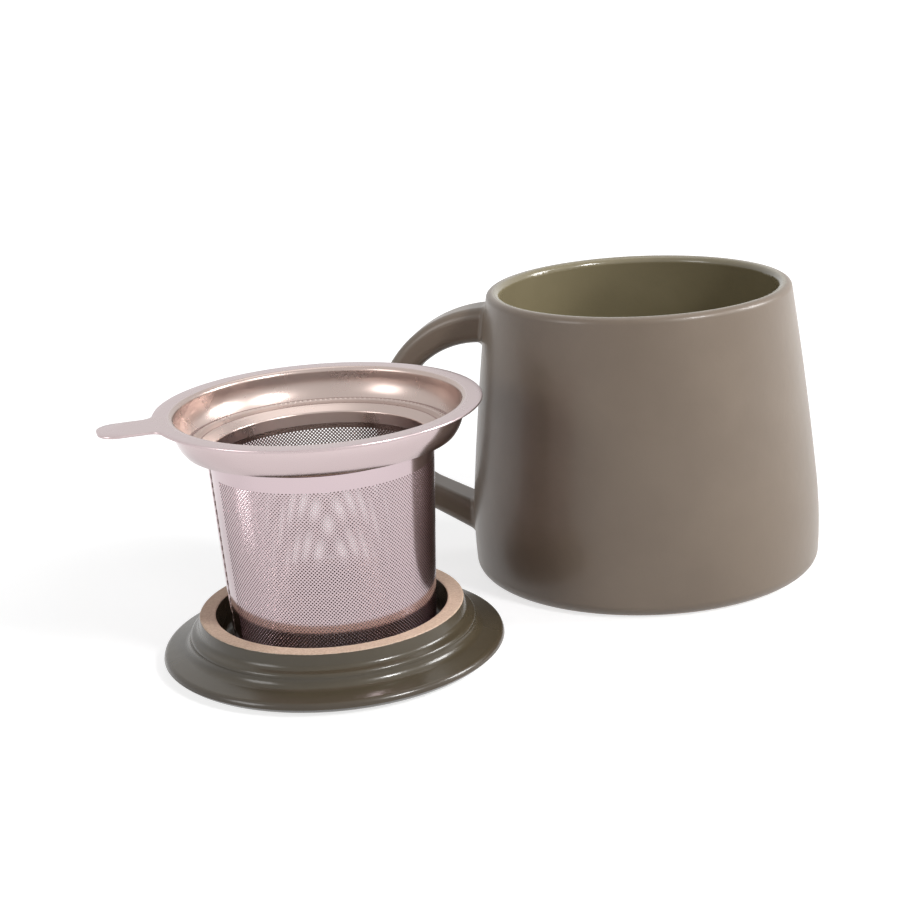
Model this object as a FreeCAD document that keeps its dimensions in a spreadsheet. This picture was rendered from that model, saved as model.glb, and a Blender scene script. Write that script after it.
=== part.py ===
import FreeCAD, Part
import math
import os
import Sketcher

# A tea mug with a loose lid and a lift-out infuser.
# The mug stands on its foot ring at the origin, with the handle along -X.
# The lid lies upturned beside it, and the infuser stands in the lid's recess.
# Lengths are in millimetres and angles in degrees, with +Z up.

DIMENSIONS = [
    # Mug body, turned about its own axis
    ("mug_height", 79.8),
    ("rim_radius", 41.9),
    ("rim_wall", 3.8),
    ("lip_round", 1.7),
    ("belly_radius", 48.3),
    ("belly_height", 24.0),
    ("foot_curve", 135.0),
    ("foot_round", 3.6),
    ("foot_ring_width", 7.0),
    ("foot_recess", 1.5),
    ("mug_floor", 6.0),
    ("floor_wall", 4.1),
    ("cavity_round", 13.0),
    # Handle: a tapering strap, bent over level at the top and falling to the wall below
    ("handle_reach", 73.9),
    ("handle_top", 68.6),
    ("upper_run", 5.0),
    ("lower_bend", 22.2),
    ("lower_slope", 25.4),
    ("grip_width", 10.6),
    ("grip_thick", 6.8),
    ("grip_round", 2.4),
    ("root_width", 13.6),
    ("root_round", 3.0),
    ("root_depth", 3.0),
    ("upper_root_thick", 10.8),
    ("upper_root_lift", 0.9),
    ("lower_root_thick", 9.2),
    # Lid, as it lies upturned
    ("lid_overhang", 2.4),
    ("lid_flat_inset", 3.7),
    ("lid_edge_low", 2.0),
    ("lid_edge_curve", 5.6),
    ("lid_edge_top", 3.4),
    ("lid_edge_taper", 0.4),
    ("lid_edge_round", 1.3),
    ("valley_height", 4.8),
    ("valley_round", 2.4),
    ("shoulder_width", 2.8),
    ("shoulder_height", 7.7),
    ("shoulder_round", 1.0),
    ("spigot_draft", 0.7),
    ("spigot_foot_height", 8.7),
    ("spigot_foot_round", 1.6),
    ("spigot_fit", 2.0),
    ("spigot_wall", 4.2),
    ("spigot_height", 12.3),
    ("spigot_round", 0.5),
    ("recess_floor", 3.7),
    ("recess_round", 2.8),
    # Infuser, in its own frame with the basket's underside at zero
    ("sheet", 0.6),
    ("flange_inset", 0.3),
    ("flange_height", 61.8),
    ("lip_bend", 1.2),
    ("collar_fit", 1.3),
    ("collar_depth", 8.0),
    ("collar_curve_height", 6.2),
    ("collar_curve", 10.0),
    ("shelf_width", 4.4),
    ("shelf_step", 0.7),
    ("neck_depth", 3.4),
    ("tab_length", 13.7),
    ("tab_width", 13.0),
    ("tab_tip_round", 5.0),
    ("tab_root_round", 3.0),
    ("basket_inset", 7.9),
    ("basket_taper", 2.7),
    ("basket_sheet", 0.4),
    ("lap_width", 4.6),
    ("cup_height", 3.0),
    ("sheet_fit", 0.05),
    # Where the loose pieces lie beside the mug
    ("lid_gap", 9.7),
    ("lid_bearing", 226.2),
    ("infuser_shift", 0.8),
    ("shift_bearing", 59.0),
    ("tab_bearing", 210.5),
    ("rest_gap", 0.3),
]

doc = FreeCAD.newDocument("tea_mug")
sheet = doc.addObject("Spreadsheet::Sheet", "dims")
for row, (alias, value) in enumerate(DIMENSIONS, start=1):
    sheet.set("A%d" % row, alias)
    sheet.set("B%d" % row, str(value))
    sheet.setAlias("B%d" % row, alias)
doc.recompute()


def value_of(expression):
    """Works an expression in the sheet's names out to a plain number."""
    result = sheet.evalExpression(expression)
    return float(getattr(result, "Value", result))


def bind(owner, path, expression):
    """Ties one property of an object to the sheet."""
    owner.setExpression(path, expression)


def origin_plane(body, role):
    """One of the body's own origin planes."""
    return [f for f in body.Origin.OriginFeatures if f.Role == role][0]


def new_body(label):
    body = doc.addObject("PartDesign::Body", label)
    body.Label = label
    return body


def new_sketch(body, name, role, height=None):
    """A sketch on an origin plane, or at a height over it."""
    sketch = body.newObject("Sketcher::SketchObject", name)
    sketch.AttachmentSupport = [(origin_plane(body, role), "")]
    sketch.MapMode = "FlatFace"
    if height:
        bind(sketch, "AttachmentOffset.Base.z", height)
    return sketch


def hold_point(sketch, edge, end, x, y):
    """Holds one end of an edge at the place that two expressions give."""
    for kind, axis, expression in (("DistanceX", -2, x), ("DistanceY", -1, y)):
        if expression == "0":
            sketch.addConstraint(Sketcher.Constraint("PointOnObject", edge, end, axis))
            continue
        amount = value_of(expression)
        index = sketch.addConstraint(
            Sketcher.Constraint(kind, -1, 1, edge, end, amount))
        bind(sketch, "Constraints[%d]" % index, expression)


def bulged(start, end, radius):
    """The arc from start to end that turns left, for a positive radius."""
    chord = end.sub(start)
    half = chord.Length / 2
    side = FreeCAD.Vector(chord.y, -chord.x, 0).normalize()
    sagitta = abs(radius) - math.sqrt(radius * radius - half * half)
    middle = start.add(end).multiply(0.5)
    return Part.Arc(start, middle.add(side.multiply(math.copysign(sagitta, radius))), end)


def draw_outline(sketch, corners, bends=None, smooth=(), closed=True):
    """Draws edges from corner to corner, each corner held by expressions.

    bends gives an edge its radius, and smooth lists the corners where two
    bends run into each other, of which the second takes no radius of its own.
    """
    bends = bends or {}
    spots = [FreeCAD.Vector(value_of(x), value_of(y), 0) for x, y in corners]
    count = len(spots) if closed else len(spots) - 1
    ends = []
    for k in range(count):
        start, end = spots[k], spots[(k + 1) % len(spots)]
        if k not in bends:
            edge = sketch.addGeometry(Part.LineSegment(start, end), False)
            ends.append((edge, 1, 2))
            continue
        arc = bulged(start, end, value_of(bends[k]))
        edge = sketch.addGeometry(arc, False)
        forward = sketch.getPoint(edge, 1).distanceToPoint(start) < 1e-6
        ends.append((edge, 1, 2) if forward else (edge, 2, 1))
    for k in range(count):
        edge, first, last = ends[k]
        hold_point(sketch, edge, first, *corners[k])
        if not closed and k == count - 1:
            hold_point(sketch, edge, last, *corners[k + 1])
            continue
        follower = ends[(k + 1) % count]
        kind = "Tangent" if k + 1 in smooth else "Coincident"
        sketch.addConstraint(Sketcher.Constraint(kind, edge, last, follower[0], follower[1]))
    for k, radius in bends.items():
        if k in smooth:
            continue
        size = radius.lstrip("-")
        index = sketch.addConstraint(
            Sketcher.Constraint("Radius", ends[k][0], value_of(size)))
        bind(sketch, "Constraints[%d]" % index, size)


def turn(body, name, sketch, kind="PartDesign::Revolution", angle="360"):
    """Turns an outline about the body's own axis."""
    feature = body.newObject(kind, name)
    feature.Profile = sketch
    feature.ReferenceAxis = (sketch, ["V_Axis"])
    bind(feature, "Angle", angle)
    doc.recompute()
    return feature


def circle_edges(shape, radius, height):
    """The names of the level circles of one radius at one height."""
    found = []
    for number, edge in enumerate(shape.Edges, start=1):
        curve = edge.Curve
        if not isinstance(curve, Part.Circle):
            continue
        close = abs(curve.Radius - radius) < 0.01 and abs(curve.Center.z - height) < 0.01
        if close and math.hypot(curve.Center.x, curve.Center.y) < 0.01:
            found.append("Edge%d" % number)
    return found


def round_circle(body, name, radius, height, size):
    """Rounds a turned corner, found by its radius and height."""
    base = body.Tip
    edges = circle_edges(base.Shape, value_of(radius), value_of(height))
    assert edges, "no edge for " + name
    fillet = body.newObject("PartDesign::Fillet", name)
    fillet.Base = (base, edges)
    bind(fillet, "Radius", size)
    doc.recompute()


def upright_edges(shape, distance, side):
    """The names of the upright edges at a distance from the axis along X."""
    found = []
    for number, edge in enumerate(shape.Edges, start=1):
        box = edge.BoundBox
        upright = box.XLength < 0.01 and box.YLength < 0.01
        if upright and abs(box.XMin - distance) < 0.01 and abs(abs(box.YMin) - side) < 0.01:
            found.append("Edge%d" % number)
    return found


def round_uprights(body, name, distance, side, size):
    """Rounds a pair of upright corners of a flat plate."""
    base = body.Tip
    edges = upright_edges(base.Shape, distance, side)
    assert len(edges) == 2, "no pair of edges for " + name
    fillet = body.newObject("PartDesign::Fillet", name)
    fillet.Base = (base, edges)
    bind(fillet, "Radius", size)
    doc.recompute()


# Radii that follow from the mug's rim, so that the loose pieces fit it and each other
MOUTH = "(dims.rim_radius - dims.rim_wall)"
FLANGE = "(dims.rim_radius - dims.flange_inset)"
COLLAR = "(%s - dims.collar_fit)" % MOUTH
BASKET_TOP = "(%s - dims.basket_inset)" % COLLAR
BASKET_BASE = "(%s - dims.basket_taper)" % BASKET_TOP
LID_EDGE = "(dims.rim_radius + dims.lid_overhang)"
SPIGOT = "(%s - dims.sheet - dims.spigot_fit)" % COLLAR

# Outer face of the mug, from the foot to the rim: two bends that run together
FOOT_CORNER = ("dims.belly_radius", "0")
BELLY_POINT = ("dims.belly_radius", "dims.belly_height")
RIM_CORNER = ("dims.rim_radius", "dims.mug_height")
LEAN_BELOW = "asin(dims.belly_height / 2 / dims.foot_curve)"
LEAN_ABOVE = "atan((dims.belly_radius - dims.rim_radius) / (dims.mug_height - dims.belly_height))"
WALL_CURVE = ("hypot(dims.belly_radius - dims.rim_radius; dims.mug_height - dims.belly_height)"
              " / 2 / sin(%s - (%s))" % (LEAN_ABOVE, LEAN_BELOW))


def make_mug_body():
    body = new_body("mug_body")
    ring_inner = "dims.belly_radius - dims.foot_round - dims.foot_ring_width"
    floor_edge = "dims.belly_radius - dims.floor_wall"
    sketch = new_sketch(body, "mug_section", "XZ_Plane")
    corners = [
        ("0", "dims.foot_recess"),
        (ring_inner, "dims.foot_recess"),
        (ring_inner, "0"),
        FOOT_CORNER,
        BELLY_POINT,
        RIM_CORNER,
        (MOUTH, "dims.mug_height"),
        (floor_edge, "dims.mug_floor"),
        ("0", "dims.mug_floor"),
    ]
    draw_outline(sketch, corners, {3: "dims.foot_curve", 4: WALL_CURVE}, smooth=(4,))
    turn(body, "mug_turned", sketch)
    round_circle(body, "foot_corner", *FOOT_CORNER, "dims.foot_round")
    round_circle(body, "cavity_corner", floor_edge, "dims.mug_floor", "dims.cavity_round")
    round_circle(body, "lip_outside", *RIM_CORNER, "dims.lip_round")
    round_circle(body, "lip_inside", MOUTH, "dims.mug_height", "dims.lip_round")
    return body


def strap_section(body, name, role, height, across, thick, corner, middle):
    """A rounded rectangle across the strap, centred at a distance along an axis."""
    sketch = new_sketch(body, name, role, height)
    level = role == "XY_Plane"
    half_a, half_t = "(%s) / 2" % across, "(%s) / 2" % thick
    signs = [(-1, -1), (1, -1), (1, 1), (-1, 1)]
    inset = {True: "(%s)" % corner, False: "0"}
    corners = []
    for k, (sa, st) in enumerate(signs):
        order = [(False, True), (True, False)] if k % 2 == 0 else [(True, False), (False, True)]
        for shift_a, shift_t in order:
            a = "%d * (%s - %s)" % (sa, half_a, inset[shift_a])
            t = "%s + %d * (%s - %s)" % (middle, st, half_t, inset[shift_t])
            corners.append((t, a) if level else (a, t))
    turn_side = "-" if level else ""
    bends = {k: turn_side + "(%s)" % corner for k in (0, 2, 4, 6)}
    draw_outline(sketch, corners, bends)
    return sketch


def make_mug_handle():
    body = new_body("mug_handle")
    slope = "(dims.lower_slope * 1 deg)"
    top_root = "-(dims.rim_radius - dims.root_depth)"
    upper_bend = "(dims.handle_reach + (%s) - dims.upper_run)" % top_root
    level = "(dims.handle_top - %s)" % upper_bend
    bend_foot = "dims.lower_bend * (1 - sin%s) - dims.handle_reach" % slope
    bend_low = "%s - dims.lower_bend * cos%s" % (level, slope)
    bottom_root = "-(dims.belly_radius - dims.root_depth)"
    bottom = "%s - (%s - (%s)) * tan%s" % (bend_low, bottom_root, bend_foot, slope)
    path = new_sketch(body, "strap_path", "XZ_Plane")
    corners = [
        (top_root, "dims.handle_top"),
        ("%s - dims.upper_run" % top_root, "dims.handle_top"),
        ("-dims.handle_reach", level),
        (bend_foot, bend_low),
        (bottom_root, bottom),
    ]
    draw_outline(path, corners, {1: upper_bend, 2: "dims.lower_bend"}, closed=False)
    first = strap_section(body, "upper_root", "YZ_Plane", top_root,
                          "dims.root_width", "dims.upper_root_thick", "dims.root_round",
                          "dims.handle_top + dims.upper_root_lift")
    grip = strap_section(body, "grip", "XY_Plane", level,
                         "dims.grip_width", "dims.grip_thick", "dims.grip_round",
                         "-dims.handle_reach")
    last = strap_section(body, "lower_root", "YZ_Plane", bottom_root,
                         "dims.root_width", "dims.lower_root_thick", "dims.root_round", bottom)
    doc.recompute()
    strap = body.newObject("PartDesign::AdditivePipe", "strap")
    strap.Profile = first
    strap.Spine = path
    strap.Transformation = "Multisection"
    strap.Sections = [grip, last]
    doc.recompute()
    wall = new_sketch(body, "wall_space", "XZ_Plane")
    corners = [("0", "0"), FOOT_CORNER, BELLY_POINT, RIM_CORNER, ("0", "dims.mug_height")]
    draw_outline(wall, corners, {1: "dims.foot_curve", 2: WALL_CURVE}, smooth=(2,))
    turn(body, "wall_cut", wall, "PartDesign::Groove")
    return body


def make_lid():
    body = new_body("lid")
    bore = SPIGOT + " - dims.spigot_wall"
    spigot_foot = SPIGOT + " + dims.spigot_draft"
    shoulder = SPIGOT + " + dims.shoulder_width"
    edge_top = LID_EDGE + " - dims.lid_edge_taper"
    sketch = new_sketch(body, "lid_section", "XZ_Plane")
    corners = [
        ("0", "0"),
        (LID_EDGE + " - dims.lid_flat_inset", "0"),
        (LID_EDGE, "dims.lid_edge_low"),
        (edge_top, "dims.lid_edge_top"),
        (shoulder, "dims.valley_height"),
        (shoulder, "dims.shoulder_height"),
        (spigot_foot, "dims.spigot_foot_height"),
        (SPIGOT, "dims.spigot_height"),
        (bore, "dims.spigot_height"),
        (bore, "dims.recess_floor"),
        ("0", "dims.recess_floor"),
    ]
    draw_outline(sketch, corners, {1: "dims.lid_edge_curve"})
    turn(body, "lid_turned", sketch)
    rounds = [
        ("edge_corner", edge_top, "dims.lid_edge_top", "dims.lid_edge_round"),
        ("valley", shoulder, "dims.valley_height", "dims.valley_round"),
        ("shoulder", shoulder, "dims.shoulder_height", "dims.shoulder_round"),
        ("spigot_foot", spigot_foot, "dims.spigot_foot_height", "dims.spigot_foot_round"),
        ("spigot_outside", SPIGOT, "dims.spigot_height", "dims.spigot_round"),
        ("spigot_inside", bore, "dims.spigot_height", "dims.spigot_round"),
        ("recess_corner", bore, "dims.recess_floor", "dims.recess_round"),
    ]
    for name, radius, height, size in rounds:
        round_circle(body, name, radius, height, size)
    return body


# Cone of the basket: its outer radius at any height
def basket_radius(height):
    return "%s + (%s) * dims.basket_taper / (%s)" % (BASKET_BASE, height, SHELF_UNDER)


SHELF_UNDER = "dims.flange_height - dims.sheet - dims.collar_depth"


def make_infuser_rim():
    body = new_body("infuser_rim")
    under = "dims.flange_height - dims.sheet"
    curve_top = SHELF_UNDER + " + dims.collar_curve_height"
    sagitta = "sqrt(dims.collar_curve^2 - dims.collar_curve_height^2)"
    foot_out = COLLAR + " - dims.collar_curve + " + sagitta
    inner = COLLAR + " - dims.sheet"
    inner_curve = "dims.collar_curve - dims.sheet"
    inner_drop = "(dims.collar_curve_height - dims.sheet)"
    foot_in = "%s - (%s) + sqrt((%s)^2 - %s^2)" % (inner, inner_curve, inner_curve, inner_drop)
    shelf_top = SHELF_UNDER + " + dims.sheet"
    step_out = "%s - dims.shelf_width / 2" % foot_in
    neck_foot = SHELF_UNDER + " - dims.neck_depth"
    neck_top = basket_radius(SHELF_UNDER) + " - dims.basket_sheet - dims.sheet_fit"
    neck_end = basket_radius(neck_foot) + " - dims.basket_sheet - dims.sheet_fit"
    sketch = new_sketch(body, "rim_section", "XZ_Plane")
    corners = [
        (FLANGE, under),
        (FLANGE, "dims.flange_height"),
        (inner, "dims.flange_height"),
        (inner, curve_top),
        (foot_in, shelf_top),
        (step_out, shelf_top),
        (neck_top + " - dims.sheet", shelf_top + " + dims.shelf_step"),
        (neck_end + " - dims.sheet", neck_foot),
        (neck_end, neck_foot),
        (neck_top, SHELF_UNDER),
        (foot_out, SHELF_UNDER),
        (COLLAR, curve_top),
        (COLLAR, under),
    ]
    draw_outline(sketch, corners, {3: "-(%s)" % inner_curve, 10: "dims.collar_curve"})
    turn(body, "rim_turned", sketch)
    tab = new_sketch(body, "tab_outline", "XY_Plane", under)
    half = "dims.tab_width / 2"
    root = COLLAR + " + dims.lip_bend"
    tip = FLANGE + " + dims.tab_length"
    draw_outline(tab, [(root, "-" + half), (tip, "-" + half), (tip, half), (root, half)])
    pad = body.newObject("PartDesign::Pad", "tab")
    pad.Profile = tab
    bind(pad, "Length", "dims.sheet")
    doc.recompute()
    side = value_of(half)
    round_uprights(body, "tab_tip", value_of(tip), side, "dims.tab_tip_round")
    meets = math.sqrt(value_of(FLANGE) ** 2 - side ** 2)
    round_uprights(body, "tab_root", meets, side, "dims.tab_root_round")
    round_circle(body, "lip_roll", inner, "dims.flange_height", "dims.lip_bend")
    return body


def make_basket_wall():
    body = new_body("basket_wall")
    skin = "dims.basket_sheet"
    top = SHELF_UNDER + " - dims.sheet_fit"
    sketch = new_sketch(body, "wall_section", "XZ_Plane")
    low, high = basket_radius("0"), basket_radius(top)
    draw_outline(sketch, [(low + " - " + skin, "0"), (low, "0"), (high, top),
                          (high + " - " + skin, top)])
    turn(body, "wall_turned", sketch)
    lap = new_sketch(body, "lap_section", "XZ_Plane")
    draw_outline(lap, [(low + " - %s / 2" % skin, "0"), (low + " + " + skin, "0"),
                       (high + " + " + skin, top), (high + " - %s / 2" % skin, top)])
    strip = turn(body, "lap_seam", lap, angle="dims.lap_width / %s * 180 / pi" % BASKET_BASE)
    strip.Midplane = True
    doc.recompute()
    return body


def make_basket_floor():
    body = new_body("basket_floor")
    skin = "dims.basket_sheet"
    fit = " - dims.basket_sheet - dims.sheet_fit"
    low = basket_radius("0") + fit
    high = basket_radius("dims.cup_height") + fit
    sketch = new_sketch(body, "cup_section", "XZ_Plane")
    draw_outline(sketch, [("0", "0"), (low, "0"), (high, "dims.cup_height"),
                          (high + " - " + skin, "dims.cup_height"),
                          (low + " - " + skin, skin), ("0", skin)])
    turn(body, "cup_turned", sketch)
    return body


LID_DISTANCE = "(dims.belly_radius + dims.lid_gap + %s)" % LID_EDGE
LID_X = LID_DISTANCE + " * cos(dims.lid_bearing * 1 deg)"
LID_Y = LID_DISTANCE + " * sin(dims.lid_bearing * 1 deg)"


def place_lid(lid):
    bind(lid, "Placement.Base.x", LID_X)
    bind(lid, "Placement.Base.y", LID_Y)


def place_infuser(bodies):
    """Stands the infuser in the recess, a little off the lid's axis."""
    push = "dims.shift_bearing * 1 deg"
    base = "vector(%s + dims.infuser_shift * cos(%s); %s + dims.infuser_shift * sin(%s); %s)" % (
        LID_X, push, LID_Y, push, "dims.recess_floor + dims.rest_gap")
    spin = "rotation(vector(0; 0; 1); dims.tab_bearing * 1 deg)"
    for body in bodies:
        bind(body, "Placement", "placement(%s; %s)" % (base, spin))


mug_body = make_mug_body()
mug_handle = make_mug_handle()
lid = make_lid()
infuser = [make_infuser_rim(), make_basket_wall(), make_basket_floor()]
place_lid(lid)
place_infuser(infuser)
doc.recompute()

# Every object has to be sound before anything is written
for item in doc.Objects:
    faults = [state for state in item.State if state in ("Invalid", "Error")]
    assert not faults, "%s is %s" % (item.Label, faults)

pieces = [mug_body, mug_handle, lid] + infuser
os.makedirs("parts", exist_ok=True)
for piece in pieces:
    shape = piece.Shape
    assert not shape.isNull() and shape.isValid(), piece.Label + " has no sound shape"
    assert len(shape.Solids) == 1, piece.Label + " isn't one solid"
    shape.exportStep("parts/%s.step" % piece.Label)
    box = shape.BoundBox
    print("%-14s %9.1f mm3  X %.1f..%.1f  Y %.1f..%.1f  Z %.1f..%.1f" % (
        piece.Label, shape.Volume, box.XMin, box.XMax, box.YMin, box.YMax, box.ZMin, box.ZMax))
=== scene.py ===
import math

import bmesh
import bpy
import numpy as np
from mathutils import Matrix, Vector
from mathutils.bvhtree import BVHTree


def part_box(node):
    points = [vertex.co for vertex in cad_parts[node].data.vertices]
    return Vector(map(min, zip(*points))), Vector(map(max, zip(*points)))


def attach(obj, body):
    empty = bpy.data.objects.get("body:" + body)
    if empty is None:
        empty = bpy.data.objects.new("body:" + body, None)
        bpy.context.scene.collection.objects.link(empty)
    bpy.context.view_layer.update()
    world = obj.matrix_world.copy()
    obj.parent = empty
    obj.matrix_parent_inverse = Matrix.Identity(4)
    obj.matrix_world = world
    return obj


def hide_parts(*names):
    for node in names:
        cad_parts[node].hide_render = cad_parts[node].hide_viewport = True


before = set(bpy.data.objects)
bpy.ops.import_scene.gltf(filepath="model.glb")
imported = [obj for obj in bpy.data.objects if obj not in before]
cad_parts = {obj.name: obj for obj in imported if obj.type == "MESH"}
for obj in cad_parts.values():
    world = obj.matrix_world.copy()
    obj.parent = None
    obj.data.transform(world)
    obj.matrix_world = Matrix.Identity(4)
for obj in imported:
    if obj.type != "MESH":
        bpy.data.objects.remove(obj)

# Looks of a lidded tea mug with its infuser. Shapes are worked out in millimetres.
MM = 0.001
WHOLE_TURN = 2 * math.pi
ARC_STEP = math.radians(9.0)
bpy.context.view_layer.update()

# Where the infuser stands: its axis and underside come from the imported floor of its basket
floor_low, floor_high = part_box("basket_floor")
INFUSER_PLACE = Matrix.Translation(
    ((floor_low.x + floor_high.x) / 2, (floor_low.y + floor_high.y) / 2, floor_low.z))
TAB_BEARING = math.radians(210.5)

# Infuser sizes, in its own frame with the tab along +X and the underside at zero
SHEET = 0.6
SKIN = 0.4
SHELF_UNDER = 53.2
FUNNEL_EDGE = 32.2
FUNNEL_FOOT = 51.3
FLANGE_TOP = 61.8
FLANGE_RADIUS = 41.6
LIP_BEND = 1.2
COLLAR_RADIUS = 36.8
COLLAR_CURVE = 10.0
CURVE_TOP = 59.4
NECK_FOOT = 48.7
TAB_REACH = 55.3
TAB_HALF = 6.5
TAB_TIP_ROUND = 5.0
TAB_ROOT_ROUND = 3.0
BASE_RADIUS = 26.2
TAPER = 2.7
FIT = 0.05
WALL_TOP = FUNNEL_FOOT - FIT
CUP_HEIGHT = 3.0

# Perforation: staggered eight-sided holes, each in a diamond with this half diagonal
HALF_PITCH = 0.475
HOLE_RADIUS = 0.24
HOLE_SIDES = 8
COLUMNS = 184
SECTORS = 4
ROWS = 92
FIRST_ROW = 3.675
PLAIN_HALF_ANGLE = math.radians(14.5)
FLOOR_HOLES_RADIUS = 23.2
FLOOR_CELLS_RADIUS = 24.3
FLOOR_EDGE_RADIUS = 23.3

# The beaded weld track on the funnel
TRACK_INNER = 32.4
TRACK_OUTER = 33.7
TRACK_FADE = 0.3
TRACK_BEADS = 150.0

# The blends at the handle's roots, in metres
BLEND_RADIUS = 1.8 * MM
BLEND_REACH = 14 * MM
BLEND_TUCK = 0.03 * MM
BLEND_INTO_ARM = 0.8 * MM
BLEND_INTO_WALL = 0.4 * MM

# The studio, in metres: the floor's glow rises from near the object outward
STUDIO_HALF = 9.0
STUDIO_DROP = 0.2 * MM
STUDIO_GREY = 0.5
GLOW_FROM, GLOW_TO = 0.10, 0.40
GLOW_NEAR, GLOW_FAR = 0.72, 1.0
WORLD_LIGHT = 0.17
LAMPS_AIM = (-0.04, -0.03, 0.04)


# Shapes

def rounded(corners):
    """A line through corners of (r, z, rounding), with an arc at each rounded corner."""
    points = []
    for k, (x, y, radius) in enumerate(corners):
        here = np.array((x, y), float)
        if radius == 0 or k in (0, len(corners) - 1):
            points.append(here)
            continue
        before = np.array(corners[k - 1][:2]) - here
        after = np.array(corners[k + 1][:2]) - here
        before /= np.linalg.norm(before)
        after /= np.linalg.norm(after)
        half = math.acos(np.clip(before @ after, -1, 1)) / 2
        inward = (before + after) / np.linalg.norm(before + after)
        centre = here + inward * radius / math.sin(half)
        start = here + before * radius / math.tan(half) - centre
        end = here + after * radius / math.tan(half) - centre
        first = math.atan2(start[1], start[0])
        turn = math.atan2(end[1], end[0]) - first
        turn = (turn + math.pi) % WHOLE_TURN - math.pi
        count = max(2, math.ceil(abs(turn) / ARC_STEP))
        points += arc(centre, radius, first, first + turn, count)
    return points


def arc(centre, radius, first, last, count):
    """Points on an arc, both ends among them."""
    spread = np.linspace(first, last, count + 1)
    return [np.array(centre) + radius * np.array((math.cos(t), math.sin(t))) for t in spread]


def smooth(mesh, sharp):
    """Smooth shading, except across edges sharper than this many degrees."""
    mesh.polygons.foreach_set("use_smooth", [True] * len(mesh.polygons))
    mesh.set_sharp_from_angle(angle=math.radians(sharp))


def add_object(name, data):
    """A new object in the scene."""
    made = bpy.data.objects.new(name, data)
    bpy.context.scene.collection.objects.link(made)
    return made


def make_infuser_piece(name, points, faces, sharp=35.0):
    """A piece from points in the infuser's frame, smooth except across sharp edges."""
    mesh = bpy.data.meshes.new(name)
    mesh.from_pydata(np.asarray(points, float) * MM, [], faces)
    mesh.validate()
    mesh.transform(Matrix.Rotation(TAB_BEARING, 4, "Z"))
    smooth(mesh, sharp)
    made = add_object(name, mesh)
    made.matrix_world = INFUSER_PLACE
    return made


def ring_faces(rings, across):
    """Quads between rings of points, each closed on itself, the last ring joined to the first."""
    faces = []
    for k in range(rings):
        low, high = k * across, (k + 1) % rings * across
        for i in range(across):
            j = (i + 1) % across
            faces.append((low + i, low + j, high + j, high + i))
    return faces


def turned(name, profile, segments):
    """A closed outline of (r, z) turned about the infuser's axis."""
    angles = np.arange(segments) * WHOLE_TURN / segments
    points = [(r * math.cos(t), r * math.sin(t), z) for r, z in profile for t in angles]
    return make_infuser_piece(name, points, ring_faces(len(profile), segments))


def flange_outline():
    """Points round the flange and its tab, each with the direction that faces outward."""
    reach = FLANGE_RADIUS + TAB_ROOT_ROUND
    side = TAB_HALF + TAB_ROOT_ROUND
    root = (math.sqrt(reach * reach - side * side), side)
    tip = (TAB_REACH - TAB_TIP_ROUND, TAB_HALF - TAB_TIP_ROUND)
    meets = math.atan2(root[1], root[0])
    upper = [((TAB_REACH, y), (1, 0)) for y in np.linspace(0, tip[1], 3)[:-1]]
    for p in arc(tip, TAB_TIP_ROUND, 0, math.pi / 2, 12):
        upper.append((tuple(p), tuple((p - tip) / TAB_TIP_ROUND)))
    for x in np.linspace(tip[0], root[0], 9)[1:-1]:
        upper.append(((x, TAB_HALF), (0, 1)))
    for p in arc(root, TAB_ROOT_ROUND, -math.pi / 2, meets - math.pi, 12):
        upper.append((tuple(p), tuple((root - p) / TAB_ROOT_ROUND)))
    for t in np.linspace(meets, math.pi, 144)[1:]:
        upper.append(((FLANGE_RADIUS * math.cos(t), FLANGE_RADIUS * math.sin(t)),
                      (math.cos(t), math.sin(t))))
    lower = [((x, -y), (nx, -ny)) for (x, y), (nx, ny) in upper[1:-1]]
    outline = upper + lower[::-1]
    return np.array([p for p, _ in outline]), np.array([n for _, n in outline])


def wall_radius(height):
    """The radius of the basket's outer face at a height."""
    return BASE_RADIUS + TAPER * height / SHELF_UNDER


def rim_profile():
    """Outlines of the rim's inner and outer skin between the flange and the neck."""
    turn_centre = (COLLAR_RADIUS - SHEET + LIP_BEND, FLANGE_TOP - LIP_BEND)
    bowl_centre = (COLLAR_RADIUS - COLLAR_CURVE, CURVE_TOP)
    shelf_top = SHELF_UNDER + SHEET
    inner = COLLAR_CURVE - SHEET
    lowest_in = -math.asin((CURVE_TOP - shelf_top) / inner)
    lowest_out = -math.asin((CURVE_TOP - SHELF_UNDER) / COLLAR_CURVE)
    neck_top = wall_radius(FUNNEL_FOOT) - SKIN - FIT
    neck_end = wall_radius(NECK_FOOT) - SKIN - FIT
    inside = arc(turn_centre, LIP_BEND, math.pi / 2, math.pi, 10)
    inside += arc(bowl_centre, inner, 0, lowest_in, 16)[:-1]
    foot = bowl_centre[0] + inner * math.cos(lowest_in)
    inside += rounded([
        (foot + 0.02, shelf_top + 0.02, 0),
        (33.85, 53.80, 0.4),
        (33.40, 54.14, 0.3),
        (32.75, 54.14, 0.3),
        (32.30, 53.72, 0.3),
        (31.00, 53.24, 0.4),
        (30.55, 53.28, 0.3),
        (29.95, 52.86, 0.3),
        (neck_top - SHEET, FUNNEL_FOOT + 0.5, 0.6),
        (neck_end - SHEET, NECK_FOOT, 0),
    ])
    outside = rounded([
        (neck_end, NECK_FOOT, 0), (neck_top, FUNNEL_FOOT, 0.2), (FUNNEL_EDGE, SHELF_UNDER, 1.0),
        (bowl_centre[0] + COLLAR_CURVE * math.cos(lowest_out), SHELF_UNDER, 0)])[:-1]
    outside += arc(bowl_centre, COLLAR_CURVE, lowest_out, 0, 16)
    outside += arc(turn_centre, LIP_BEND - SHEET, math.pi, math.pi / 2, 8)
    return inside, outside


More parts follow.
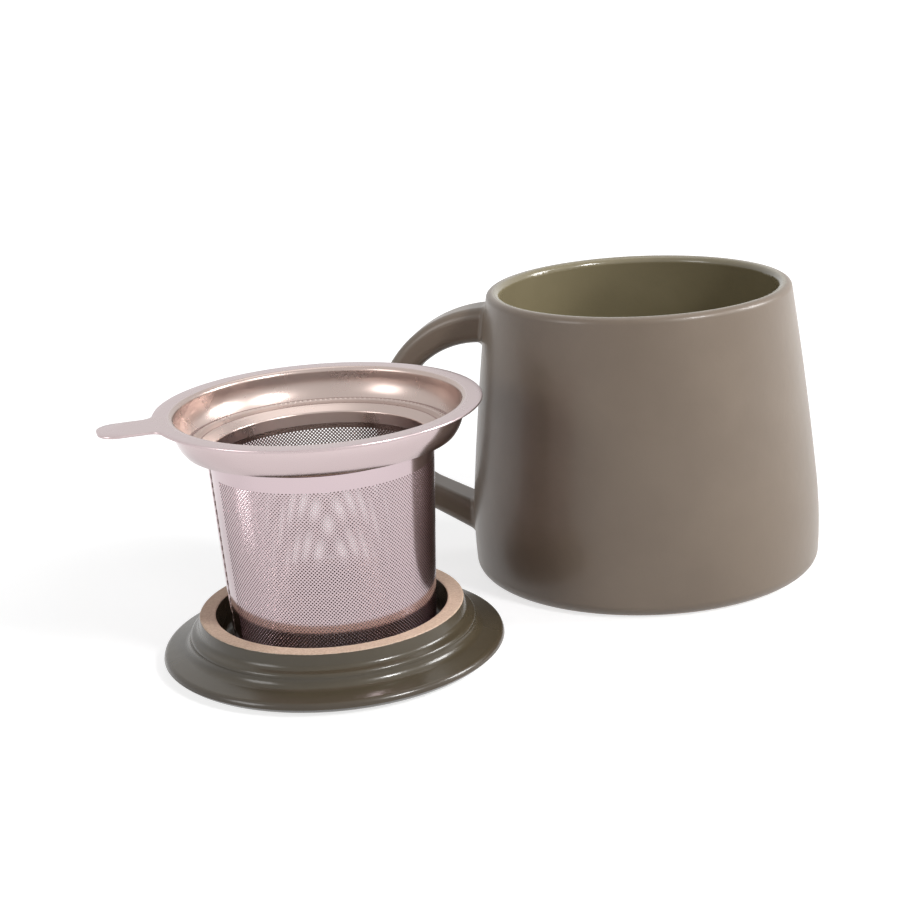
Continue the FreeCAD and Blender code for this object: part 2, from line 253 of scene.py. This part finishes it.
def make_rim():
    """The drawn rim: flat flange with its tab, rolled lip, collar, ridged funnel and neck."""
    outline, outward = flange_outline()
    spokes = outline / np.linalg.norm(outline, axis=1)[:, None]
    rings = []

    def edge_ring(inset, height):
        rings.append(np.column_stack([outline - outward * inset, np.full(len(outline), height)]))

    def flange_ring(share, height):
        start = spokes * (COLLAR_RADIUS - SHEET + LIP_BEND)
        flat = start + (outline - outward * 0.25 - start) * share
        rings.append(np.column_stack([flat, np.full(len(outline), height)]))

    under = FLANGE_TOP - SHEET
    for inset, drop in ((0.25, 0.0), (0.10, 0.05), (0.02, 0.16), (0.0, 0.3)):
        edge_ring(inset, FLANGE_TOP - drop)
    for inset, rise in ((0.02, 0.16), (0.10, 0.05), (0.25, 0.0)):
        edge_ring(inset, under + rise)
    for share in (0.66, 0.33):
        flange_ring(share, under)
    inside, outside = rim_profile()
    for r, z in outside[::-1] + inside[::-1]:
        rings.append(np.column_stack([spokes * r, np.full(len(outline), z)]))
    for share in (0.33, 0.66):
        flange_ring(share, FLANGE_TOP)
    points = np.concatenate(rings)
    faces = [face[::-1] for face in ring_faces(len(rings), len(outline))]
    return make_infuser_piece("infuser_rim_drawn", points, faces)


def cell(a, b):
    """The corners of the diamond round a point of the lattice."""
    return [(a + 1, b), (a, b + 1), (a - 1, b), (a, b - 1)]


def perforated(name, holed, plain, place_point, lean=None):
    """A sheet with a hole in each diamond cell.

    holed lists cell centres on the lattice and plain lists whole polygons on it.
    place_point turns lattice numbers and a side, 0 or 1, into a point, and lean
    gives the direction that the face looks in there.
    """
    corner_index, points, faces = {}, [], []

    def corner(a, b, side):
        key = (a, b, side)
        if key not in corner_index:
            corner_index[key] = len(points)
            points.append(place_point(a, b, side))
        return corner_index[key]

    share = HOLE_RADIUS / HALF_PITCH
    side_turn = WHOLE_TURN / HOLE_SIDES
    circle = [(share * math.cos(k * side_turn), share * math.sin(k * side_turn))
              for k in range(HOLE_SIDES)]
    outlines = list(plain)
    for a, b in holed:
        diamond = cell(a, b)
        outlines.append(diamond)
        rings = []
        for side in (0, 1):
            rings.append(len(points))
            points.extend(place_point(a + x, b + y, side) for x, y in circle)
        for q in range(4):
            for side in (0, 1):
                ring = rings[side]
                face = [corner(*diamond[q], side), corner(*diamond[(q + 1) % 4], side),
                        ring + (2 * q + 2) % HOLE_SIDES, ring + 2 * q + 1, ring + 2 * q]
                faces.append(face[::-1] if side else face)
        for k in range(HOLE_SIDES):
            m = (k + 1) % HOLE_SIDES
            faces.append([rings[0] + k, rings[0] + m, rings[1] + m, rings[1] + k])
    for outline in plain:
        faces.append([corner(*p, 0) for p in outline])
        faces.append([corner(*p, 1) for p in outline][::-1])
    edges = dict.fromkeys(edge for outline in outlines
                          for edge in zip(outline, outline[1:] + outline[:1]))
    for p, q in edges:
        if (q, p) not in edges:
            faces.append([corner(*q, 0), corner(*p, 0), corner(*p, 1), corner(*q, 1)])
    made = make_infuser_piece(name, points, faces, sharp=50.0)
    if lean:
        steady_normals(made.data, lean)
    return made


def steady_normals(mesh, lean):
    """Gives a sheet's two faces the true normals of its surface, so that sectors join unseen."""
    count = len(mesh.loops)
    vertex = np.zeros(count, np.int32)
    mesh.loops.foreach_get("vertex_index", vertex)
    at = np.zeros(len(mesh.vertices) * 3, np.float32)
    mesh.vertices.foreach_get("co", at)
    true = lean(at.reshape(-1, 3)[vertex])
    sizes = np.zeros(len(mesh.polygons), np.int32)
    mesh.polygons.foreach_get("loop_total", sizes)
    flat = np.zeros(len(mesh.polygons) * 3, np.float32)
    mesh.polygons.foreach_get("normal", flat)
    own = np.repeat(flat.reshape(-1, 3), sizes, axis=0)
    along = (own * true).sum(1)
    normals = np.where((np.abs(along) > 0.8)[:, None], true * np.sign(along)[:, None], 0.0)
    mesh.normals_split_custom_set(normals.tolist())


def make_basket_wall():
    """The rolled wall in sectors, with plain bands at its ends and beside the lap."""
    unit = math.pi / COLUMNS

    def place_point(a, b, side):
        height = min(max(FIRST_ROW + b * HALF_PITCH, 0.0), WALL_TOP)
        radius = wall_radius(height) - SKIN * side
        return radius * math.cos(a * unit), radius * math.sin(a * unit), height

    def lean(points):
        rise = TAPER / SHELF_UNDER
        away = points[:, :2] / np.linalg.norm(points[:, :2], axis=1)[:, None]
        normals = np.column_stack([away, np.full(len(points), -rise)])
        return normals / math.hypot(1, rise)

    lowest, highest = -FIRST_ROW / HALF_PITCH, (WALL_TOP - FIRST_ROW) / HALF_PITCH
    made = []
    per_sector = COLUMNS // SECTORS
    for s in range(SECTORS):
        holed, plain = [], []
        for i in range(s * per_sector, (s + 1) * per_sector):
            for b in range(ROWS):
                a = 2 * i + b % 2
                turn = min(a * unit, WHOLE_TURN - a * unit)
                if turn > PLAIN_HALF_ANGLE:
                    holed.append((a, b))
                else:
                    plain.append(cell(a, b))
            a = 2 * i
            top = 2 * i + 1
            plain.append([(a, -1), (a + 2, -1), (a + 1, 0)])
            plain.append([(a, lowest), (a + 2, lowest), (a + 2, -1), (a, -1)])
            plain.append([(top, ROWS), (top - 1, ROWS - 1), (top - 2, ROWS)][::-1])
            plain.append([(top - 2, ROWS), (top, ROWS), (top, highest), (top - 2, highest)])
        name = "basket_sheet_%d" % (s + 1)
        made.append(perforated(name, holed, plain, place_point, lean))
    return made


def make_basket_floor():
    """The perforated disc, and the turned-up edge that it is welded in by."""
    def place_point(a, b, side):
        return a * HALF_PITCH, b * HALF_PITCH, SKIN * (1 - side)

    most = int(FLOOR_CELLS_RADIUS / HALF_PITCH) + 1
    holed, plain = [], []
    for a in range(-most, most + 1):
        for b in range(-most, most + 1):
            if (a + b) % 2:
                continue
            away = math.hypot(a, b) * HALF_PITCH
            if away + HALF_PITCH < FLOOR_HOLES_RADIUS:
                holed.append((a, b))
            elif away < FLOOR_CELLS_RADIUS:
                plain.append(cell(a, b))
    disc = perforated("basket_floor_sheet", holed, plain, place_point)
    low = wall_radius(0) - SKIN - FIT
    high = wall_radius(CUP_HEIGHT) - SKIN - FIT
    proud = 0.03
    section = rounded([
        (FLOOR_EDGE_RADIUS, -proud, 0), (low, -proud, 0.7), (high, CUP_HEIGHT - 0.1, 0.0),
        (high - 0.1, CUP_HEIGHT, 0), (high - SKIN + 0.1, CUP_HEIGHT, 0),
        (high - SKIN, CUP_HEIGHT - 0.1, 0), (low - SKIN, SKIN + proud, 0.5),
        (FLOOR_EDGE_RADIUS, SKIN + proud, 0)])
    edge = turned("basket_floor_edge", section, 180)
    return disc, edge


def make_lap():
    """The lap seam: the outer end of the sheet, whose cut edge is smeared at each spot weld."""
    across = [-2.32, -2.30, -2.24, -2.10, -1.4, -0.7, 0.0, 0.26, 0.33, 0.36, 0.37, 0.38]
    rise = [-0.12, 0.10, 0.20, 0.26, 0.27, 0.27, 0.27, 0.26, 0.24, 0.19, 0.04, -0.12]
    weld_across = [-2.32, -2.30, -2.24, -2.10, -1.4, -0.7, 0.0, 0.26, 0.38, 0.52, 0.68, 0.78]
    weld_rise = [-0.12, 0.10, 0.20, 0.26, 0.27, 0.26, 0.24, 0.20, 0.15, 0.08, 0.02, -0.12]
    weld_pitch, weld_half, weld_fade, height_step = 2.4, 0.55, 0.3, 0.15
    heights = np.arange(0.0, WALL_TOP, height_step)
    points = []
    for z in heights:
        off = abs((z + weld_pitch / 2) % weld_pitch - weld_pitch / 2)
        weld = min(max((weld_half + weld_fade / 2 - off) / weld_fade, 0.0), 1.0)
        for a, weld_a, r, weld_r in zip(across, weld_across, rise, weld_rise):
            radius = wall_radius(z) + r + (weld_r - r) * weld
            turn = (a + (weld_a - a) * weld) / BASE_RADIUS
            points.append((radius * math.cos(turn), radius * math.sin(turn), z))
    wide = len(across)
    faces = ring_faces(len(heights), wide)[:-wide]
    faces.append(tuple(range(wide))[::-1])
    faces.append(tuple((len(heights) - 1) * wide + i for i in range(wide)))
    made = make_infuser_piece("basket_lap", points, faces)
    # The cut edge's faces take the second material, painted dark as shade of the step.
    cut_edge = (9, 10)
    for face in made.data.polygons:
        face.material_index = 1 if face.index % wide in cut_edge else 0
    return made


def surface_of(node):
    """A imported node's mesh, for finding points on its surface."""
    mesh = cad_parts[node].data
    return BVHTree.FromPolygons([v.co for v in mesh.vertices],
                                [tuple(face.vertices) for face in mesh.polygons])


def on_wall(wall, height):
    """The point and direction of the mug's outer wall on the handle's side, at a height."""
    return wall.ray_cast(Vector((-0.2, 0, height)), Vector((1, 0, 0)))[:2]


def root_heights(wall, arm):
    """The heights of the middles of the handle's roots, lowest first."""
    runs, before = [], False
    for height in np.arange(4.0, 76.0, 0.25) * MM:
        point, facing = on_wall(wall, height)
        probe = point + facing * MM
        near, outward = arm.find_nearest(probe)[:2]
        inside = (probe - near).dot(outward) < 0
        if inside and not before:
            runs.append([])
        if inside:
            runs[-1].append(height)
        before = inside
    return [sum(run) / len(run) for run in runs]


def make_root_blend(name, wall, arm, height):
    """The smoothed clay where the handle is luted on: a hollow curve all round its root."""
    root, normal = on_wall(wall, height)
    up = (Vector((0, 0, 1)) - normal * normal.z).normalized()
    side = normal.cross(up)
    strips, around = 8, 120
    rings = [[] for _ in range(strips + 3)]
    for k in range(around):
        turn = k * WHOLE_TURN / around
        away = up * math.cos(turn) + side * math.sin(turn)

        def arm_at(lift):
            start = root + normal * lift + away * BLEND_REACH
            return arm.ray_cast(start, -away)[0] or arm.find_nearest(start)[0]

        def wall_under(point):
            start = point + normal * BLEND_REACH
            return wall.ray_cast(start, -normal)[0] or wall.find_nearest(point)[0]

        base = arm_at(0)
        drop = (wall_under(base) - base).dot(normal)
        for s in range(strips + 1):
            tilt = s / strips * math.pi / 2
            lift = BLEND_RADIUS * (1 - math.cos(tilt))
            at = arm_at(drop + lift)
            over = wall_under(at + away * BLEND_RADIUS * (1 - math.sin(tilt)))
            rings[s].append(over + normal * lift)
        rings[0][-1] -= normal * BLEND_TUCK
        rings[strips][-1] = at - away * BLEND_TUCK
        rings[strips + 1].append(at - away * BLEND_INTO_ARM)
        rings[strips + 2].append(base + normal * (drop - BLEND_INTO_WALL) - away * BLEND_INTO_ARM)
    mesh = bpy.data.meshes.new(name)
    mesh.from_pydata([p for ring in rings for p in ring], [], ring_faces(len(rings), around))
    shape = bmesh.new()
    shape.from_mesh(mesh)
    bmesh.ops.recalc_face_normals(shape, faces=shape.faces)
    shape.to_mesh(mesh)
    shape.free()
    smooth(mesh, 50.0)
    return add_object(name, mesh)


# Materials

def tone(red, green, blue):
    """A colour given as it looks on a screen, 0 to 255, as the shader wants it."""
    def plain(v):
        v /= 255
        return v / 12.92 if v <= 0.04045 else ((v + 0.055) / 1.055) ** 2.4
    return (plain(red), plain(green), plain(blue), 1.0)


class Nodes:
    """Short names for building a material's nodes."""

    def __init__(self, name):
        self.material = bpy.data.materials.new(name)
        self.material.use_nodes = True
        self.tree = self.material.node_tree
        self.shader = self.tree.nodes["Principled BSDF"]

    def add(self, kind, **settings):
        made = self.tree.nodes.new(kind)
        for key, value in settings.items():
            setattr(made, key, value)
        return made

    def feed(self, socket, value):
        if isinstance(value, bpy.types.NodeSocket):
            self.tree.links.new(value, socket)
        else:
            socket.default_value = value

    def sum(self, operation, *values):
        made = self.add("ShaderNodeMath", operation=operation)
        for socket, value in zip(made.inputs, values):
            self.feed(socket, value)
        return made.outputs[0]

    def step(self, value, low, high):
        made = self.add("ShaderNodeMapRange", interpolation_type="SMOOTHSTEP")
        for socket, number in zip(made.inputs, (value, low, high)):
            self.feed(socket, number)
        return made.outputs[0]

    def blend(self, share, first, second):
        made = self.add("ShaderNodeMix", data_type="RGBA")
        self.feed(made.inputs["Factor"], share)
        self.feed(made.inputs[6], first)
        self.feed(made.inputs[7], second)
        return made.outputs[2]

    def between(self, share, first, second):
        made = self.add("ShaderNodeMix", data_type="FLOAT")
        self.feed(made.inputs["Factor"], share)
        self.feed(made.inputs[2], first)
        self.feed(made.inputs[3], second)
        return made.outputs[0]

    def noise(self, scale, detail=3.0, roughness=0.5):
        """Noise over the object's own place, with scale in waves to the metre."""
        place = self.add("ShaderNodeTexCoord").outputs["Object"]
        made = self.add("ShaderNodeTexNoise")
        self.feed(made.inputs["Vector"], place)
        made.inputs["Scale"].default_value = scale
        made.inputs["Detail"].default_value = detail
        made.inputs["Roughness"].default_value = roughness
        return made.outputs["Fac"]

    def place(self):
        """The object's own x, y and z."""
        made = self.add("ShaderNodeSeparateXYZ")
        self.feed(made.inputs[0], self.add("ShaderNodeTexCoord").outputs["Object"])
        return made.outputs

    def facing(self):
        """The x, y and z of the surface's direction in the object's own frame."""
        made = self.add("ShaderNodeSeparateXYZ")
        self.feed(made.inputs[0], self.add("ShaderNodeTexCoord").outputs["Normal"])
        return made.outputs

    def radius(self, x, y):
        """The distance from the z axis."""
        squares = self.sum("MULTIPLY", x, x), self.sum("MULTIPLY", y, y)
        return self.sum("SQRT", self.sum("ADD", *squares))

    def outward(self, x, y, radius):
        """How the surface looks from the z axis: 1 away from it, -1 towards it."""
        nx, ny = self.facing()[:2]
        along = self.sum("ADD", self.sum("MULTIPLY", x, nx), self.sum("MULTIPLY", y, ny))
        return self.sum("DIVIDE", along, self.sum("MAXIMUM", radius, 1 * MM))

    def bump(self, height, distance):
        made = self.add("ShaderNodeBump")
        made.inputs["Strength"].default_value = 1.0
        made.inputs["Distance"].default_value = distance
        self.feed(made.inputs["Height"], height)
        self.feed(self.shader.inputs["Normal"], made.outputs[0])

    def base(self, colour, roughness):
        self.feed(self.shader.inputs["Base Color"], colour)
        self.feed(self.shader.inputs["Roughness"], roughness)

    def coat(self, weight, roughness):
        self.shader.inputs["Coat Weight"].default_value = weight
        self.shader.inputs["Coat Roughness"].default_value = roughness


def speckled(n, colour, darker, lighter):
    """A glaze colour with slow drifts, and fine iron specks."""
    drift = n.step(n.noise(38.0, 4.0, 0.55), 0.32, 0.68)
    cloud = n.blend(drift, darker, lighter)
    soft = n.blend(0.22, colour, cloud)
    specks = n.step(n.noise(2600.0, 2.0, 0.4), 0.70, 0.78)
    return n.blend(n.sum("MULTIPLY", specks, 0.35), soft, darker)


def satin_taupe(n):
    """The colour of the mug's outside and its handle."""
    return speckled(n, tone(124, 109, 94), tone(109, 94, 80), tone(135, 120, 104))


def mug_glaze():
    """Satin taupe outside, glossier olive inside, and bare clay under the foot ring."""
    n = Nodes("mug_satin_glaze")
    x, y, z = n.place()
    nz = n.facing()[2]
    radius = n.radius(x, y)
    outward = n.outward(x, y, radius)
    in_cup = n.sum("MULTIPLY", n.step(z, 5 * MM, 6 * MM), n.step(radius, 43.0 * MM, 42.0 * MM))
    walls = n.step(n.sum("ADD", outward, n.sum("MULTIPLY", nz, -0.2)), 0.1, -0.45)
    inside = n.sum("MAXIMUM", n.sum("MULTIPLY", walls, in_cup),
                   n.sum("MULTIPLY", n.step(z, 30 * MM, 20 * MM), in_cup))
    outer = satin_taupe(n)
    inner = speckled(n, tone(135, 125, 98), tone(119, 109, 82), tone(143, 133, 106))
    grain = n.noise(1500.0, 3.0, 0.6)
    clay = n.blend(grain, tone(196, 168, 146), tone(219, 192, 170))
    bare = n.sum("MULTIPLY", n.step(nz, -0.75, -0.9), n.step(z, 1.1 * MM, 0.7 * MM))
    colour = n.blend(bare, n.blend(inside, outer, inner), clay)
    drift = n.noise(90.0, 3.0, 0.5)
    satin = n.between(drift, 0.36, 0.46)
    gloss = n.between(drift, 0.16, 0.24)
    n.base(colour, n.between(bare, n.between(inside, satin, gloss), 0.85))
    n.bump(n.sum("ADD", n.noise(260.0, 3.0, 0.5), n.sum("MULTIPLY", grain, 0.12)), 0.05 * MM)
    n.coat(0.25, 0.18)
    return n.material


def handle_glaze():
    """The same satin taupe on the handle and on the blends at its roots."""
    n = Nodes("handle_satin_glaze")
    n.base(satin_taupe(n), n.between(n.noise(90.0, 3.0, 0.5), 0.34, 0.44))
    n.bump(n.noise(260.0, 3.0, 0.5), 0.06 * MM)
    n.coat(0.25, 0.18)
    return n.material


def lid_glaze(lid_low, lid_high):
    """Glossy olive glaze round a bare clay ring, browner where the glaze thins at the outer edge
    and darkened there as painted shade.
    """
    n = Nodes("lid_gloss_glaze")
    x, y, z = n.place()
    centre = (lid_low + lid_high) / 2
    dx, dy = n.sum("SUBTRACT", x, centre.x), n.sum("SUBTRACT", y, centre.y)
    radius = n.radius(dx, dy)
    nz = n.facing()[2]
    glaze = speckled(n, tone(79, 70, 54), tone(66, 58, 43), tone(89, 80, 62))
    # The outer edge is browner where the glaze thins, and darker as painted shade.
    thin_glaze_and_shade = tone(74, 62, 53)
    edge = n.step(radius, 43.0 * MM, 44.2 * MM)
    glaze = n.blend(n.sum("MULTIPLY", edge, 0.45), glaze, thin_glaze_and_shade)
    wobble = n.sum("MULTIPLY", n.sum("SUBTRACT", n.noise(420.0, 3.0, 0.6), 0.5), 0.25 * MM)
    ring = n.sum("MULTIPLY", n.step(n.sum("ADD", z, wobble), 12.02 * MM, 12.12 * MM),
                 n.step(nz, 0.45, 0.6))
    grain = n.noise(1900.0, 4.0, 0.65)
    clay = n.blend(n.step(grain, 0.3, 0.7), tone(206, 176, 152), tone(228, 202, 180))
    n.base(n.blend(ring, glaze, clay),
           n.between(ring, n.between(n.noise(110.0, 3.0, 0.5), 0.19, 0.27), 0.8))
    n.bump(n.sum("ADD", n.noise(240.0, 3.0, 0.5),
                 n.sum("MULTIPLY", n.sum("MULTIPLY", grain, ring), 1.2)), 0.05 * MM)
    n.coat(0.1, 0.12)
    return n.material


def steel(name, tint, inside_shade_tone, low, high, rub):
    """Polished sheet steel with turning marks and a track of weld beads, its faces turned to the
    axis painted darker and warmer as shade and brownish reflection.
    """
    n = Nodes(name)
    x, y, z = n.place()
    radius = n.radius(x, y)
    bearing = n.sum("ARCTAN2", y, x)
    packed = n.add("ShaderNodeCombineXYZ")
    n.feed(packed.inputs[0], n.sum("ADD", radius, z))
    n.feed(packed.inputs[1], n.sum("MULTIPLY", bearing, 0.0006))
    marks = n.add("ShaderNodeTexNoise")
    n.feed(marks.inputs["Vector"], packed.outputs[0])
    marks.inputs["Scale"].default_value = 5200.0
    marks.inputs["Detail"].default_value = 2.0
    smudge = n.noise(120.0, 3.0, 0.6)
    flange = n.step(radius, 37.0 * MM, 38.2 * MM)
    # Faces turned toward the axis take the inner tone: painted shade and brownish reflection.
    inward = n.step(n.outward(x, y, radius), 0.1, -0.3)
    duller = n.sum("MULTIPLY", n.sum("MAXIMUM", flange, inward), 0.12)
    n.base(n.blend(inward, tint, inside_shade_tone), n.sum("ADD", n.between(smudge, low, high), duller))
    n.shader.inputs["Metallic"].default_value = 1.0
    track = n.sum("MULTIPLY", n.step(radius, TRACK_INNER * MM, (TRACK_INNER + TRACK_FADE) * MM),
                  n.step(radius, TRACK_OUTER * MM, (TRACK_OUTER - TRACK_FADE) * MM))
    beads = n.sum("SINE", n.sum("MULTIPLY", bearing, TRACK_BEADS))
    rubbed = n.sum("ADD", n.sum("MULTIPLY", marks.outputs["Fac"], 0.5),
                   n.sum("MULTIPLY", smudge, 0.8))
    n.bump(n.sum("ADD", rubbed, n.sum("MULTIPLY", n.sum("MULTIPLY", track, beads), 6.0)), rub)
    return n.material


def sheared_steel_and_shade():
    """The cut edge of the sheet along the lap: dull from the shear, and painted dark as shade
    along the lap's step.
    """
    n = Nodes("sheared_edge_steel_and_shade")
    grain = n.noise(2400.0, 3.0, 0.6)
    # The dark tones are painted shade of the lap's step; the grain is the cut's own.
    n.base(n.blend(grain, tone(92, 79, 73), tone(136, 121, 115)), n.between(grain, 0.4, 0.6))
    n.shader.inputs["Metallic"].default_value = 1.0
    n.bump(grain, 0.01 * MM)
    return n.material


def dress(piece, slot, body, *materials):
    """Gives a new piece its materials and the body that it rides on. The slot is not used."""
    for material in materials:
        piece.data.materials.append(material)
    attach(piece, body)


# The pieces
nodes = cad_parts
nodes["mug_body"].material_slots[0].material = mug_glaze()
satin = handle_glaze()
nodes["mug_handle"].material_slots[0].material = satin
nodes["lid"].material_slots[0].material = lid_glaze(*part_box("lid"))

wall, arm = surface_of("mug_body"), surface_of("mug_handle")
lower_root, upper_root = root_heights(wall, arm)
for name, height in (("handle_lower_blend", lower_root), ("handle_upper_blend", upper_root)):
    dress(make_root_blend(name, wall, arm, height), "mug_glaze", "mug", satin)

# The rim's inner faces are painted a little darker and warmer: painted shade and brownish
# reflection.
rim_steel = steel("rim_polished_steel", tone(194, 177, 178), tone(185, 168, 161), 0.12, 0.20,
                  0.010 * MM)
# The basket sheet's inner faces are painted much darker: painted shade inside the basket.
sheet_steel = steel("sheet_polished_steel", tone(197, 179, 183), tone(130, 113, 106), 0.10, 0.17,
                    0.008 * MM)

rim = make_rim()
dress(rim, "polished_steel", "infuser", rim_steel)
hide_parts("infuser_rim")

for piece in make_basket_wall():
    dress(piece, "perforated_steel", "infuser", sheet_steel)
    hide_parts("basket_wall")
lap = make_lap()
dress(lap, "perforated_steel", "infuser", sheet_steel, sheared_steel_and_shade())
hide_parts("basket_wall")

for piece in make_basket_floor():
    dress(piece, "perforated_steel", "infuser", sheet_steel)
    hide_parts("basket_floor")


# Studio: a white floor that keeps the shadow, a white world, and soft lamps

def seen_white(tree):
    """1 for the rays that show the background itself: camera, glossy and transmission."""
    path = tree.nodes.new("ShaderNodeLightPath")
    total = None
    for name in ("Is Camera Ray", "Is Glossy Ray", "Is Transmission Ray"):
        if total is None:
            total = path.outputs[name]
            continue
        add = tree.nodes.new("ShaderNodeMath")
        add.operation = "MAXIMUM"
        tree.links.new(total, add.inputs[0])
        tree.links.new(path.outputs[name], add.inputs[1])
        total = add.outputs[0]
    return total


def make_floor():
    """A grey floor that takes the shadow, and glows white where the background is seen in it."""
    half = STUDIO_HALF
    mesh = bpy.data.meshes.new("studio_floor")
    corners = [(-half, -half), (half, -half), (half, half), (-half, half)]
    mesh.from_pydata([(x, y, -STUDIO_DROP) for x, y in corners], [], [(0, 1, 2, 3)])
    floor = add_object("studio_floor", mesh)
    material = bpy.data.materials.new("studio_white")
    material.use_nodes = True
    tree = material.node_tree
    tree.nodes.clear()
    output = tree.nodes.new("ShaderNodeOutputMaterial")
    diffuse = tree.nodes.new("ShaderNodeBsdfDiffuse")
    diffuse.inputs["Color"].default_value = (STUDIO_GREY, STUDIO_GREY, STUDIO_GREY, 1)
    glow = tree.nodes.new("ShaderNodeEmission")
    position = tree.nodes.new("ShaderNodeNewGeometry").outputs["Position"]
    away = tree.nodes.new("ShaderNodeVectorMath")
    away.operation = "LENGTH"
    tree.links.new(position, away.inputs[0])
    fade = tree.nodes.new("ShaderNodeMapRange")
    for socket, number in zip(fade.inputs[1:5], (GLOW_FROM, GLOW_TO, GLOW_NEAR, GLOW_FAR)):
        socket.default_value = number
    tree.links.new(away.outputs["Value"], fade.inputs["Value"])
    level = tree.nodes.new("ShaderNodeMath")
    level.operation = "MULTIPLY"
    tree.links.new(fade.outputs[0], level.inputs[1])
    tree.links.new(seen_white(tree), level.inputs[0])
    tree.links.new(level.outputs[0], glow.inputs["Strength"])
    add = tree.nodes.new("ShaderNodeAddShader")
    tree.links.new(diffuse.outputs[0], add.inputs[0])
    tree.links.new(glow.outputs[0], add.inputs[1])
    tree.links.new(add.outputs[0], output.inputs["Surface"])
    mesh.materials.append(material)


def make_world():
    """A world that is seen white, and lights the object only a little."""
    world = bpy.data.worlds.new("studio_world")
    bpy.context.scene.world = world
    world.use_nodes = True
    tree = world.node_tree
    background = tree.nodes["Background"]
    background.inputs["Color"].default_value = (1, 1, 1, 1)
    strength = tree.nodes.new("ShaderNodeMix")
    strength.data_type = "FLOAT"
    tree.links.new(seen_white(tree), strength.inputs["Factor"])
    strength.inputs[2].default_value = WORLD_LIGHT
    strength.inputs[3].default_value = 1.0
    tree.links.new(strength.outputs[0], background.inputs["Strength"])


def lamp(name, place, side, power):
    """A soft square lamp that looks at the object."""
    data = bpy.data.lights.new(name, "AREA")
    data.shape = "RECTANGLE"
    data.size = data.size_y = side
    data.energy = power
    made = add_object(name, data)
    made.location = place
    looks = Vector(LAMPS_AIM) - Vector(place)
    made.rotation_euler = looks.to_track_quat("-Z", "Y").to_euler()


def make_camera():
    """The photograph's camera, worked out from its ellipses."""
    aim = Vector((-51.202, -12.216, 32.775)) * MM
    azimuth, elevation, roll = math.radians(15.0), math.radians(16.9), math.radians(-3.6247)
    distance, focal_pixels, frame_pixels = 536.672 * MM, 1890.24, 915
    back = Vector((math.sin(azimuth) * math.cos(elevation),
                   -math.cos(azimuth) * math.cos(elevation), math.sin(elevation)))
    right = Vector((math.cos(azimuth), math.sin(azimuth), 0))
    up = back.cross(right)
    across = right * math.cos(roll) + up * math.sin(roll)
    upward = up * math.cos(roll) - right * math.sin(roll)
    data = bpy.data.cameras.new("camera")
    data.lens = data.sensor_width * focal_pixels / frame_pixels
    data.clip_start, data.clip_end = 0.01, 50
    camera = add_object("camera", data)
    camera.matrix_world = Matrix.Translation(aim + back * distance) @ Matrix(
        (across, upward, back)).transposed().to_4x4()
    bpy.context.scene.camera = camera


make_camera()
make_floor()
make_world()
lamp("key_front_right", (0.62, -0.41, 0.60), 0.16, 4.6)
lamp("side_right", (0.80, 0.22, 0.46), 0.30, 5.2)
lamp("fill_left", (-0.66, -0.68, 0.42), 0.34, 1.6)
lamp("top_soft", (-0.05, 0.25, 0.85), 0.5, 0.8)
bpy.context.scene.view_settings.view_transform = "Standard"
